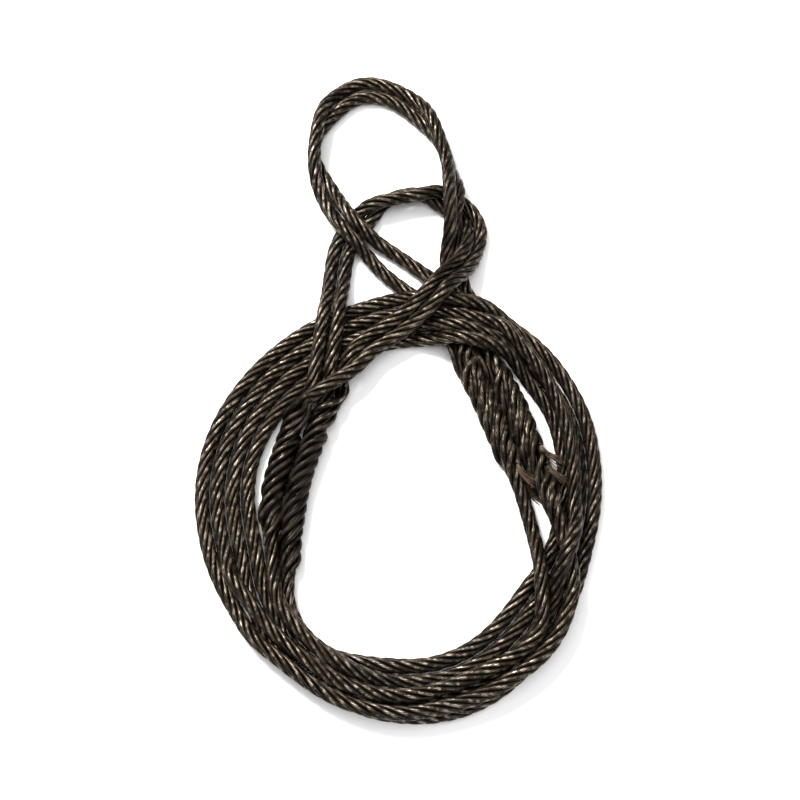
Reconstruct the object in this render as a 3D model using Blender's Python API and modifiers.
"""A pair of hand-spliced wire rope slings, coiled together on a flat surface.

Each sling is one 12 mm six-strand rope with a fibre core and a soft eye at both
ends. Below each eye six tail strands wind round the standing rope. The upper eyes
reach furthest along +Y, to about Y 400; the front eyes stop at about Y 285.
The model is in metres, Z up. Sizes and tables are in millimetres from the middle
of the coil; the origin is under the middle of the whole lay-out, on the surface.
"""

import math

import bpy
import numpy as np

MM = 0.001
MIDDLE = (-0.904, 117.256, 0.272)   # the model's origin, in the tables' frame

# Rope and strands
ROPE_R = 6.0        # rope radius, to the strand crowns
SLEEVE_R = 6.2      # corner radius of the eight-sided strand layer
CORE_R = 1.7        # fibre core
CORE_RECESS = 1.0   # how far each core end sits inside the strands
BORE_R = 2.3        # hollow that the strands leave for the core
LAY = 75.0          # length in which a strand goes once round the rope
STRANDS = 6
GAP = 0.5           # clear space kept between neighbouring ropes
LANE = 12.5         # spacing of ropes lying side by side
STEP = 6.0          # spacing of the points that are laid down

# Where each sling is cut into runs
UPPER_HINGE_Y = 194.0               # the upper eyes lift about this line, along X
FRONT_HINGE = (-60.0, 121.0)        # the front eyes lift about a line through here
FRONT_LIFT_DIR = (0.46, 0.888)      # plan direction of the side that rises
HINGE_GAP = 3.7                     # from a hinge line to the rope end at each side of it
TAIL_ROOM = 3.0                     # from a dead leg's end to where its tails begin

# The outer edge of the coil is a rounded, slightly lopsided ring.
OUTLINE_MEAN_R = 171.1
OUTLINE_HARMONICS = ((2.2, 11.3), (-6.2, 1.4), (-4.2, 2.4))   # (cosine, sine) terms

# Centre lines of the eyes, as (x, y, z). An upper table starts at the dead end of the
# eye's leg, goes round the eye and down the splice; a front table runs the other way.
A_UPPER = (
    (36, 153, 6), (21, 174, 6), (6, 189, 6), (-12, 206, 8), (-28, 222, 13), (-42, 239, 19),
    (-56, 262, 19), (-69, 287, 19), (-76, 317, 18), (-73, 348, 14), (-62, 376, 8),
    (-46, 395, 6), (-26, 399, 6), (-2, 390, 6), (17, 372, 11), (31.5, 345, 16),
    (42, 312, 18), (45, 285, 27), (45, 263, 31), (44.5, 243, 20), (43, 225, 8),
    (42.5, 207, 6), (45, 183, 6), (50, 160, 6), (55, 138, 8), (58, 122, 10.5),
    (74, 82, 10.5), (84, 56, 10.5), (93, 31, 10.5), (100.5, 8, 10.5), (107, -19, 12),
    (112, -44, 16), (114, -69, 18), (112, -92, 18), (103, -111, 18),
)
B_UPPER = (
    (64, 146, 19), (58, 160, 19), (47, 177, 18), (36, 192, 9), (23, 206, 6), (3, 221, 7),
    (-15, 234, 12), (-30, 242, 19), (-44, 258, 18), (-59, 281, 12), (-73, 307, 6),
    (-78, 332, 6), (-70, 355, 6), (-57, 372, 6), (-41, 382, 6), (-25, 384, 6),
    (-3, 379, 6), (18, 363, 6), (36, 338, 6), (44, 312, 6), (47, 288, 13), (49, 269, 19),
    (50, 254, 13), (50, 239, 6), (52, 221, 6), (54.5, 197, 6), (60, 174, 6), (70, 148, 8),
    (80, 125, 10.5), (87, 109, 10.5), (99.5, 82, 10.5), (109, 52, 10.5), (115, 35, 10.5),
    (121.5, 17, 10.5), (131, -19, 12), (134, -40, 14), (134, -61, 18), (131, -80, 18),
    (125, -100, 18),
)
A_FRONT = (
    (-89, -82, 6), (-92, -64, 7), (-91, -46, 10.5), (-88, -19, 10.5), (-83, 18, 10.5),
    (-74, 56, 10.5), (-61, 94, 12), (-58, 115, 18), (-54, 146, 18), (-50, 179, 17),
    (-47, 218, 8), (-42, 239, 6), (-33, 256, 6), (-15, 277, 6), (3, 284, 6), (22, 286, 6),
    (37, 279.6, 6), (48, 268, 6), (56, 255, 8), (58, 239, 12), (54, 220, 18),
    (43, 205, 21), (29, 187, 33), (6, 165, 34), (-17, 150, 24), (-34, 138, 18),
    (-44, 127, 9), (-51, 115, 6), (-53, 102, 6),
)
B_FRONT = (
    (-99, -72, 17), (-105, -52, 10), (-108, -31, 8), (-107, -11, 10.5), (-103, 18, 10.5),
    (-90, 56, 10.5), (-76, 96, 10.5), (-71, 116, 16), (-67, 146, 18), (-63, 179, 17),
    (-59, 218, 8), (-53, 239, 6), (-42, 256, 8), (-29, 265, 14), (-14, 272, 18),
    (3, 277, 18), (22, 279, 18), (39, 281, 12), (53, 278, 6), (61, 266, 6), (66, 249, 6),
    (66, 233, 9), (61, 217, 15), (53, 203, 22), (44, 190, 34), (29, 173, 42),
    (6, 154, 34), (-9, 144, 28), (-29, 131, 24), (-46, 114, 24), (-62, 98, 30),
    (-76, 88, 26),
)
# Centre lines in the coil, as (degrees clockwise from +X seen from above, lanes in from
# the outer edge, z).
A_COIL = (
    (60, 1.2, 18), (75, 1.3, 18), (90, 0.95, 18), (105, 0.9, 18), (120, 0.92, 18),
    (135, 0.95, 18), (150, 1.0, 16), (165, 1, 8), (180, 1, 6), (225, 0.97, 6),
    (268, 0.97, 8), (276, 1, 18), (286, 1, 24), (298, 1.05, 31), (315, 1.2, 20),
    (330, 1.4, 17), (345, 1.4, 17), (360, 1.35, 17), (375, 1.2, 15), (390, 1.05, 8),
    (405, 1, 6), (450, 1, 6), (465, 0.97, 6), (480, 0.97, 6), (492, 1.2, 8),
    (505, 2.0, 15), (518, 2.7, 16), (530, 2.9, 10), (542, 2.9, 6), (580, 2.9, 6),
    (600, 2.85, 6), (615, 2.7, 9), (630, 2.5, 14), (645, 2.45, 22), (658, 2.3, 30),
    (675, 2.1, 20), (690, 1.95, 8), (705, 1.9, 6), (720, 1.9, 6), (735, 2.05, 6),
    (750, 2.4, 6), (765, 2.8, 6), (780, 2.95, 6), (795, 2.9, 6), (808, 2.6, 6),
    (820, 2.1, 6), (835, 1.95, 6), (848, 1.95, 6),
)
B_COIL = (
    (55, 0.0, 18), (75, 0.15, 18), (90, -0.05, 18), (105, -0.05, 18), (120, 0, 18),
    (135, -0.05, 16), (150, -0.15, 9), (165, -0.05, 6), (225, 0, 6), (268, 0, 8),
    (276, 0, 18), (286, 0, 26), (294, 0, 31), (304, 0, 22), (316, 0, 8), (330, 0, 6),
    (360, 0, 6), (405, 0.05, 6), (420, -0.1, 6), (435, -0.15, 6), (450, -0.1, 6),
    (465, 0, 6), (480, 0, 6), (495, 0.35, 6), (510, 1.2, 6), (525, 1.9, 6),
    (540, 1.95, 6), (580, 1.95, 6), (615, 1.9, 6), (630, 1.8, 8), (645, 1.65, 20),
    (658, 1.5, 30), (675, 1.25, 20), (690, 0.97, 8), (705, 0.95, 6), (720, 0.95, 6),
    (735, 1.15, 6), (750, 1.55, 6), (765, 1.85, 6), (780, 1.95, 6), (795, 1.95, 8),
    (808, 1.9, 14), (820, 1.9, 18), (835, 1.9, 18), (848, 2.1, 18),
)
COIL_ROW_MAX = 15          # most degrees between two rows of a filled-in coil table
FRONT_SPLICE = (2, 6)      # first and last row of a front table that its splice covers
# sling: (upper table, coil table, front table, rows of the upper table in its splice)
SLINGS = {
    "a": (A_UPPER, A_COIL, A_FRONT, (25, 29)),
    "b": (B_UPPER, B_COIL, B_FRONT, (29, 34)),
}


# ---- Curves and arc lengths ----

CURVE_PARTS = 24    # fine steps between two control points


def arc_of(path):
    """Arc length at each point of the path."""
    return np.concatenate([[0], np.cumsum(np.linalg.norm(np.diff(path, axis=0), axis=1))])


def at_arc(path, lengths):
    """Points of the path at the given arc lengths."""
    arc = arc_of(path)
    return np.stack([np.interp(lengths, arc, path[:, axis]) for axis in range(3)], 1)


def spline(controls):
    """A Catmull-Rom curve at even steps, and the arc length at each control point."""
    p = np.array(controls, float)
    p = np.vstack([2 * p[0] - p[1], p, 2 * p[-1] - p[-2]])
    t = np.linspace(0, 1, CURVE_PARTS, endpoint=False)[:, None]
    parts = []
    for i in range(1, len(p) - 2):
        a, b, c, d = p[i - 1 : i + 3]
        square = (2 * a - 5 * b + 4 * c - d) * t**2
        cube = (3 * b - a - 3 * c + d) * t**3
        parts.append(0.5 * (2 * b + (c - a) * t + square + cube))
    fine = np.vstack(parts + [p[-2:-1]])
    arc = arc_of(fine)
    count = int(round(arc[-1] / STEP))
    return at_arc(fine, np.linspace(0, arc[-1], count + 1)), arc[::CURVE_PARTS]


def crossings(values, arc):
    """Arc lengths at which values changes sign."""
    return [
        arc[k] + (arc[k + 1] - arc[k]) * values[k] / (values[k] - values[k + 1])
        for k in np.nonzero(np.sign(values[:-1]) != np.sign(values[1:]))[0]
    ]


# ---- The course of each sling ----

def outline(azimuth):
    return OUTLINE_MEAN_R + sum(
        cosine * math.cos(k * azimuth) + sine * math.sin(k * azimuth)
        for k, (cosine, sine) in enumerate(OUTLINE_HARMONICS, 1)
    )


def fill_in(table):
    """Add rows so that no two are over COIL_ROW_MAX degrees apart."""
    rows = [table[0]]
    for p, q in zip(table, table[1:]):
        n = int(math.ceil((q[0] - p[0]) / COIL_ROW_MAX))
        for k in range(1, n + 1):
            rows.append(tuple(p[i] + (q[i] - p[i]) * k / n for i in range(3)))
    return rows


def coil_points(rows):
    points = []
    for turn, lane, z in rows:
        azimuth = -math.radians(turn)
        r = outline(azimuth) - ROPE_R - lane * LANE
        points.append((r * math.cos(azimuth), r * math.sin(azimuth), z))
    return points


def sling_path(upper, coil, front, upper_splice):
    """The sling's centre line, and the arc spans (from, to) of its two splices."""
    middle = coil_points(fill_in(coil))
    path, marks = spline([*upper, *middle, *front])
    front_marks = marks[len(upper) + len(middle):]
    return path, [
        tuple(marks[row] for row in upper_splice),
        tuple(front_marks[row] for row in FRONT_SPLICE),
    ]


THROAT_SEARCH = (70, 30)   # searched for a throat: toward the eye, and into the splice


def throats(path, spans):
    """The splices' spans, each reaching to where the dead end meets the standing rope."""
    arc = arc_of(path)
    eyeward, inward = THROAT_SEARCH

    def meeting(dead_end, lo, hi):
        distance = np.linalg.norm(path - dead_end, axis=1)
        return arc[np.where((arc > lo) & (arc < hi), distance, np.inf).argmin()]

    (lo0, hi0), (lo1, hi1) = spans
    return [
        (meeting(path[0], lo0 - eyeward, lo0 + inward), hi0),
        (lo1, meeting(path[-1], hi1 - inward, hi1 + eyeward)),
    ]


SPLICE_R = 10.3        # radius over the tucked tails
SWELL_LEAD = 4.0       # the swelling starts this far before the throat
SWELL_LENGTH = 18.0    # it reaches its full radius in this length
TAPER_LENGTH = 30.0    # and falls back to the rope's over this length


def radius_along(path, spans):
    """Rope radius at each point, swelling over the two splices."""
    arc = arc_of(path)
    radius = np.full(len(path), ROPE_R)
    for k, (lo, hi) in enumerate(spans):
        # the first splice's throat is at its start, the other's at its end
        inward = arc - lo if k == 0 else hi - arc
        swell = np.clip((inward + SWELL_LEAD) / SWELL_LENGTH, 0, 1)
        taper = np.clip((hi - lo - inward) / TAPER_LENGTH, 0, 1)
        radius = np.maximum(radius, ROPE_R + (SPLICE_R - ROPE_R) * np.minimum(swell, taper))
    return radius


# ---- Contact between ropes ----

def stack(runs):
    """All runs' points in one array, with each run's (start, end) in it, the first
    point of every segment, and the run that each point belongs to."""
    counts = [len(run) for run in runs]
    ends = np.cumsum(counts)
    bounds = list(zip(ends - counts, ends))
    segments = np.concatenate([np.arange(start, end - 1) for start, end in bounds])
    return np.vstack(runs), bounds, segments, np.repeat(np.arange(len(runs)), counts)


def inner_points(bounds, margin):
    return np.concatenate([np.arange(start + margin, end - margin) for start, end in bounds])


def nearest_on_segment(P, start, end):
    """Where on each segment is nearest to each point: the fraction along, and the place."""
    d = end - start
    t = np.clip(((P - start) * d).sum(1) / np.maximum((d * d).sum(1), 1e-9), 0, 1)
    return t, start + d * t[:, None]


def push_apart(P, push, shares, strength):
    """Move the points by their mean push. shares holds (point indices, signed shares)."""
    move, count = np.zeros_like(P), np.zeros(len(P))
    for index, share in shares:
        np.add.at(move, index, push * share[:, None])
        np.add.at(count, index, np.abs(share))
    P += move / np.maximum(count, 1)[:, None] * strength


# Laying down
SETTLE_ROUNDS = 320
PAIR_ROUNDS = 8        # rounds between two searches for near neighbours
PAIR_REACH = 34.0      # plan distance within which ropes count as near
PAIR_SKIP = 9          # points along the same rope that are never in contact
GRAVITY = 0.25         # drop per round at the start
LATE_GRAVITY = 0.25    # share of it left at the end
FADE_RATE = 1.6        # the rest is gone after 1 / FADE_RATE of the rounds
HOLD = 0.04            # pull back to the course in plan
STIFFNESS = 0.35       # pull toward the cubic through a point's neighbours
LEVELLING = 0.12       # pull toward the neighbours' mean height
SETTLE_PUSH = 1.3      # over-correction of an overlap


def settle(paths, radii):
    """Lay the ropes down: gravity, bending stiffness, and no rope inside another."""
    P, bounds, segments, rope = stack(paths)
    course = P.copy()
    R = np.concatenate(radii)
    index = np.arange(len(P))
    inner, inner2 = inner_points(bounds, 1), inner_points(bounds, 2)
    other_rope = rope[:, None] != rope[None, segments]
    apart = other_rope | (np.abs(index[:, None] - segments[None, :]) > PAIR_SKIP)
    for turn in range(SETTLE_ROUNDS):
        if turn % PAIR_ROUNDS == 0:
            square = ((P[:, None, :2] - P[None, segments, :2]) ** 2).sum(2)
            i, near = np.nonzero(apart & (square < PAIR_REACH**2))
            j = segments[near]
        fade = max(0.0, 1 - FADE_RATE * turn / SETTLE_ROUNDS)
        P[:, 2] -= GRAVITY * (LATE_GRAVITY + (1 - LATE_GRAVITY) * fade)
        P[:, :2] += HOLD * (course[:, :2] - P[:, :2])
        for _ in range(2):
            beside = P[inner2 - 1] + P[inner2 + 1]
            beyond = P[inner2 - 2] + P[inner2 + 2]
            P[inner2] += STIFFNESS * ((4 * beside - beyond) / 6 - P[inner2])
        P[inner, 2] += LEVELLING * ((P[inner - 1, 2] + P[inner + 1, 2]) / 2 - P[inner, 2])
        for _ in range(3):
            t, nearest = nearest_on_segment(P[i], P[j], P[j + 1])
            offset = P[i] - nearest
            distance = np.linalg.norm(offset, axis=1)
            need = R[i] + R[j] * (1 - t) + R[j + 1] * t + GAP
            hit = distance < need
            away = offset[hit] / np.maximum(distance[hit], 1e-6)[:, None]
            push = (need[hit] - distance[hit])[:, None] * away * 0.5
            shares = (
                (i[hit], np.ones(hit.sum())),
                (j[hit], -(1 - t[hit])),
                (j[hit] + 1, -t[hit]),
            )
            push_apart(P, push, shares, SETTLE_PUSH)
            P[:, 2] = np.maximum(P[:, 2], R)
    return [P[start:end] for start, end in bounds]


# Parting the coarse rods
PART_ROUNDS = 400
ROD_PAIR_ROUNDS = 10   # rounds between two searches for near neighbours
ROD_REACH = 24         # from a rod's end, how near a sample counts
ROD_SKIP = 26          # length of the same run past a rod's end that is never in contact
SAMPLE_STEP = 3.5      # greatest spacing of the samples on a rod
PART_PUSH = 1.2        # over-correction of an overlap


def part(runs, run_radii):
    """Move the corners of the coarse runs until no two rods touch."""
    P, bounds, rods, run = stack(runs)
    R = np.array(run_radii)[run]
    # samples on every rod: its first corner, and the share of the second one
    length = np.linalg.norm(P[rods + 1] - P[rods], axis=1)
    corner, weight = [], []
    for k, rod in enumerate(rods):
        n = max(2, int(math.ceil(length[k] / SAMPLE_STEP)))
        corner.append(np.full(n, rod))
        weight.append((np.arange(n) + 0.5) / n if n > 2 else np.array([0.0, 0.5]))
    a, w = np.concatenate(corner), np.concatenate(weight)
    arc = np.concatenate([arc_of(P[start:end]) for start, end in bounds])
    sample_arc = arc[a] * (1 - w) + arc[a + 1] * w
    between = np.abs(sample_arc[:, None] - (arc[rods] + arc[rods + 1])[None] / 2)
    apart = (run[a][:, None] != run[rods][None]) | (between > length[None] / 2 + ROD_SKIP)
    for turn in range(PART_ROUNDS):
        samples = P[a] * (1 - w)[:, None] + P[a + 1] * w[:, None]
        if turn % ROD_PAIR_ROUNDS == 0:
            middles = (P[rods] + P[rods + 1]) / 2
            spacing = np.linalg.norm(samples[:, None] - middles[None], axis=2)
            i, near = np.nonzero((spacing < length[None] / 2 + ROD_REACH) & apart)
            j = rods[near]
            ai, wi = a[i], w[i]
        t, nearest = nearest_on_segment(samples[i], P[j], P[j + 1])
        offset = samples[i] - nearest
        distance = np.linalg.norm(offset, axis=1)
        need = R[ai] * (1 - wi) + R[ai + 1] * wi + R[j] * (1 - t) + R[j + 1] * t + GAP
        hit = distance < need
        if not hit.any():
            break
        overlap = (need - distance)[hit] / np.maximum(distance[hit], 1e-6)
        push = overlap[:, None] * offset[hit] * 0.5
        shares = (
            (ai[hit], 1 - wi[hit]),
            (ai[hit] + 1, wi[hit]),
            (j[hit], -(1 - t[hit])),
            (j[hit] + 1, -t[hit]),
        )
        push_apart(P, push, shares, PART_PUSH)
        P[:, 2] = np.maximum(P[:, 2], R)
    return [P[start:end] for start, end in bounds]


def lay_down():
    """Both slings laid down, as {sling: (path, spans of its two splices)}."""
    drawn = {sling: sling_path(*tables) for sling, tables in SLINGS.items()}
    radii = [radius_along(path, throats(path, spans)) for path, spans in drawn.values()]
    settled = settle([path for path, _ in drawn.values()], radii)
    return {
        sling: (path, throats(path, spans))
        for (sling, (_, spans)), path in zip(drawn.items(), settled)
    }


# ---- Rope runs ----

COIL_SAG, EYE_SAG = 0.9, 0.7           # how far a rod may stray from the true curve
ROD_MAX, ROD_MIN, ROD_TRIM = 42.0, 9.0, 1.5   # rod length: first try, floor, decrement


def stations(path, lo, hi, sag):
    """Arc lengths of the rings from lo to hi, closer together where the rope bends more."""
    rings, s = [lo], lo
    while s < hi - 1e-6:
        step = ROD_MAX
        while step > ROD_MIN:
            e = min(s + step, hi)
            start, end = at_arc(path, [s, e])
            chord = (end - start) / max(np.linalg.norm(end - start), 1e-9)
            reach = at_arc(path, np.linspace(s, e, 9)[1:-1]) - start
            off = reach - np.outer(reach @ chord, chord)
            if np.linalg.norm(off, axis=1).max() < sag:
                break
            step -= ROD_TRIM
        left = hi - s
        if left <= step * 1.02:
            s = hi
        elif left < 2 * step:
            s += left / 2
        else:
            s += step
        rings.append(s)
    return np.array(rings)


def cut_up(path, spans):
    """The runs of one sling, as {name: (from, to)} in arc length."""
    arc = arc_of(path)
    upper = [s for s in crossings(path[:, 1] - UPPER_HINGE_Y, arc) if s < spans[0][0]]
    rise = (path[:, :2] - np.array(FRONT_HINGE)) @ np.array(FRONT_LIFT_DIR)
    front = [s for s in crossings(rise, arc) if s > (spans[1][0] + spans[1][1]) / 2]
    return {
        "upper_leg_end": (TAIL_ROOM, upper[0] - HINGE_GAP),
        "upper_eye": (upper[0] + HINGE_GAP, upper[-1] - HINGE_GAP),
        "rope": (upper[-1] + HINGE_GAP, front[0] - HINGE_GAP),
        "front_eye": (front[0] + HINGE_GAP, front[-1] - HINGE_GAP),
        "front_leg_end": (front[-1] + HINGE_GAP, arc[-1] - TAIL_ROOM),
    }


def rope_runs(laid):
    runs = {}
    for sling, (path, spans) in laid.items():
        for name, (lo, hi) in cut_up(path, spans).items():
            sag = COIL_SAG if name == "rope" else EYE_SAG
            runs[sling, name] = at_arc(path, stations(path, lo, hi, sag))
    return runs


# ---- Splice tails ----

TAIL_R = 2.0           # corner radius of a four-sided tail strand
TAIL_CLEAR_R = 1.7     # tail radius used when rods are parted
TAIL_ORBIT = 8.35      # radius of the circle a tail's centre runs on
TAIL_START_R = 3.6     # radius of the circle the tails start on, round the dead end
TAIL_BLEND = 26.0      # length in which a tail reaches its orbit
TAIL_LIFT = 5.5        # outward bulge of the widest-fanned tails on the way
TAIL_STAGGER = 9.0     # step between the tails' ending places
TAIL_SHORT = 4         # the longest tails end this far before the splice does
TAIL_FINE = 3.0        # spacing of the points a tail is worked out at
TAIL_STEP = 7.2        # greatest length of standing rope from one ring to the next
FAN_STEP = 360 // STRANDS           # degrees between neighbouring tails on the orbit
FAN_MAX = 180 - FAN_STEP // 2       # the first tail's place, from the dead leg's side


def frame_along(path):
    """Side and up directions at each point, with up as near to +Z as the path allows."""
    t = np.gradient(path, axis=0)
    t /= np.linalg.norm(t, axis=1)[:, None]
    side = np.cross(t, [0, 0, 1.0])
    side /= np.linalg.norm(side, axis=1)[:, None]
    return side, np.cross(side, t)


def tail_paths(standing, dead_end):
    """One splice's tails, from the dead end and then helically round the standing rope."""
    length = arc_of(standing)[-1]
    fine = np.arange(0, length + 0.1, TAIL_FINE)
    centre = at_arc(standing, fine)
    side, up = frame_along(centre)
    # the dead end, seen square to the standing rope
    along = standing[1] - standing[0]
    along = along / np.linalg.norm(along)
    offset = dead_end - standing[0]
    flat = offset - (offset @ along) * along
    toward = math.atan2(flat @ up[0], flat @ side[0])
    reach = np.linalg.norm(flat)
    tails = []
    for k in range(STRANDS):
        place = math.tau * (k + 0.5) / STRANDS
        x = reach + TAIL_START_R * math.cos(place)
        y = TAIL_START_R * math.sin(place)
        start_r, start_angle = math.hypot(x, y), math.atan2(y, x)
        fan = FAN_MAX - FAN_STEP * k
        s = fine[fine <= length - TAIL_STAGGER * ((k * 2) % 5) - TAIL_SHORT]
        ramp = np.clip(s / TAIL_BLEND, 0, 1)
        blend = ramp * ramp * (3 - 2 * ramp)
        lift = TAIL_LIFT * np.sin(ramp * math.pi) * (abs(fan) / FAN_MAX) ** 2
        turned = toward + start_angle + (math.radians(fan) - start_angle) * blend
        angle = turned - math.tau * s / LAY
        r = start_r + (TAIL_ORBIT - start_r) * blend + lift
        n = len(s)
        across = side[:n] * (r * np.cos(angle))[:, None]
        tail = centre[:n] + across + up[:n] * (r * np.sin(angle))[:, None]
        tail[:, 2] = np.maximum(tail[:, 2], TAIL_R)
        rings = np.linspace(0, n - 1, int(math.ceil(n * TAIL_FINE / TAIL_STEP)) + 1)
        tails.append(np.stack([np.interp(rings, np.arange(n), c) for c in tail.T], 1))
    return tails


def tail_runs(laid):
    runs = {}
    for sling, (path, spans) in laid.items():
        arc = arc_of(path)
        for eye, (lo, hi) in zip(("upper", "front"), spans):
            # both run from the eye's throat into the coil, starting with the dead end
            away = path if eye == "upper" else path[::-1]
            inside = (arc >= lo - 0.1) & (arc <= hi + 0.1)
            standing = away[inside if eye == "upper" else inside[::-1]]
            for k, tail in enumerate(tail_paths(standing, away[0]), 1):
                runs[sling, f"{eye}_splice_tail_{k}"] = tail
    return runs


# ---- Blender objects ----

def new_collection(name):
    for obj in list(bpy.data.objects):
        bpy.data.objects.remove(obj, do_unlink=True)
    home = bpy.data.collections.new(name)
    bpy.context.scene.collection.children.link(home)
    return home


def material(name, colour, metallic, roughness):
    mat = bpy.data.materials.new(name)
    mat.use_nodes = True
    shader = mat.node_tree.nodes["Principled BSDF"]
    shader.inputs["Base Color"].default_value = (*colour, 1)
    shader.inputs["Metallic"].default_value = metallic
    shader.inputs["Roughness"].default_value = roughness
    return mat


def add_rod(home, name, points, radius, mat, resolution, caps):
    """A rod along the points (mm): 4 + 2 x resolution sides, flat side down."""
    curve = bpy.data.curves.new(name, "CURVE")
    curve.dimensions = "3D"
    curve.twist_mode = "Z_UP"
    curve.bevel_depth = radius * MM
    curve.bevel_resolution = resolution
    curve.use_fill_caps = caps
    line = curve.splines.new("POLY")
    line.points.add(len(points) - 1)
    for point, place in zip(line.points, (points - np.array(MIDDLE)) * MM):
        point.co = (*place, 1)
        point.tilt = math.pi / (4 + 2 * resolution)
    obj = bpy.data.objects.new(name, curve)
    curve.materials.append(mat)
    home.objects.link(obj)
    return obj


def add_strands(home, name, points, mat):
    """Six strands laid round the core, as one hollow eight-sided rod with open ends."""
    obj = add_rod(home, name, points, SLEEVE_R, mat, resolution=2, caps=False)
    wall = obj.modifiers.new("wall", "SOLIDIFY")
    wall.thickness = (SLEEVE_R - BORE_R) * MM
    wall.offset = -1
    wall.use_rim = True


def add_core(home, name, points, mat):
    """The six-sided fibre core, set back from both ends of the strands."""
    core = points.copy()
    for end, inward in ((0, 1), (-1, -2)):
        d = core[inward] - core[end]
        core[end] += d / np.linalg.norm(d) * CORE_RECESS
    add_rod(home, name, core, CORE_R, mat, resolution=1, caps=True)


def main():
    home = new_collection("Wire_Rope_Sling_Pair")
    steel = {
        "a": material("greased_steel_a", colour=(0.085, 0.072, 0.058),
                      metallic=0.85, roughness=0.42),
        "b": material("greased_steel_b", colour=(0.105, 0.09, 0.075),
                      metallic=0.85, roughness=0.45),
    }
    tail_steel = material("tucked_steel", colour=(0.13, 0.085, 0.055),
                          metallic=0.8, roughness=0.5)
    fibre = material("core_fibre", colour=(0.16, 0.12, 0.07), metallic=0.0, roughness=0.9)

    laid = lay_down()
    ropes, tails = rope_runs(laid), tail_runs(laid)
    radii = [ROPE_R] * len(ropes) + [TAIL_CLEAR_R] * len(tails)
    parted = part([*ropes.values(), *tails.values()], radii)
    for (sling, piece), points in zip([*ropes, *tails], parted):
        name = f"{sling}_{piece}"
        if (sling, piece) in tails:
            add_rod(home, name, points, TAIL_R, tail_steel, resolution=0, caps=True)
        else:
            add_strands(home, name + "_strands", points, steel[sling])
            add_core(home, name + "_core", points, fibre)


main()
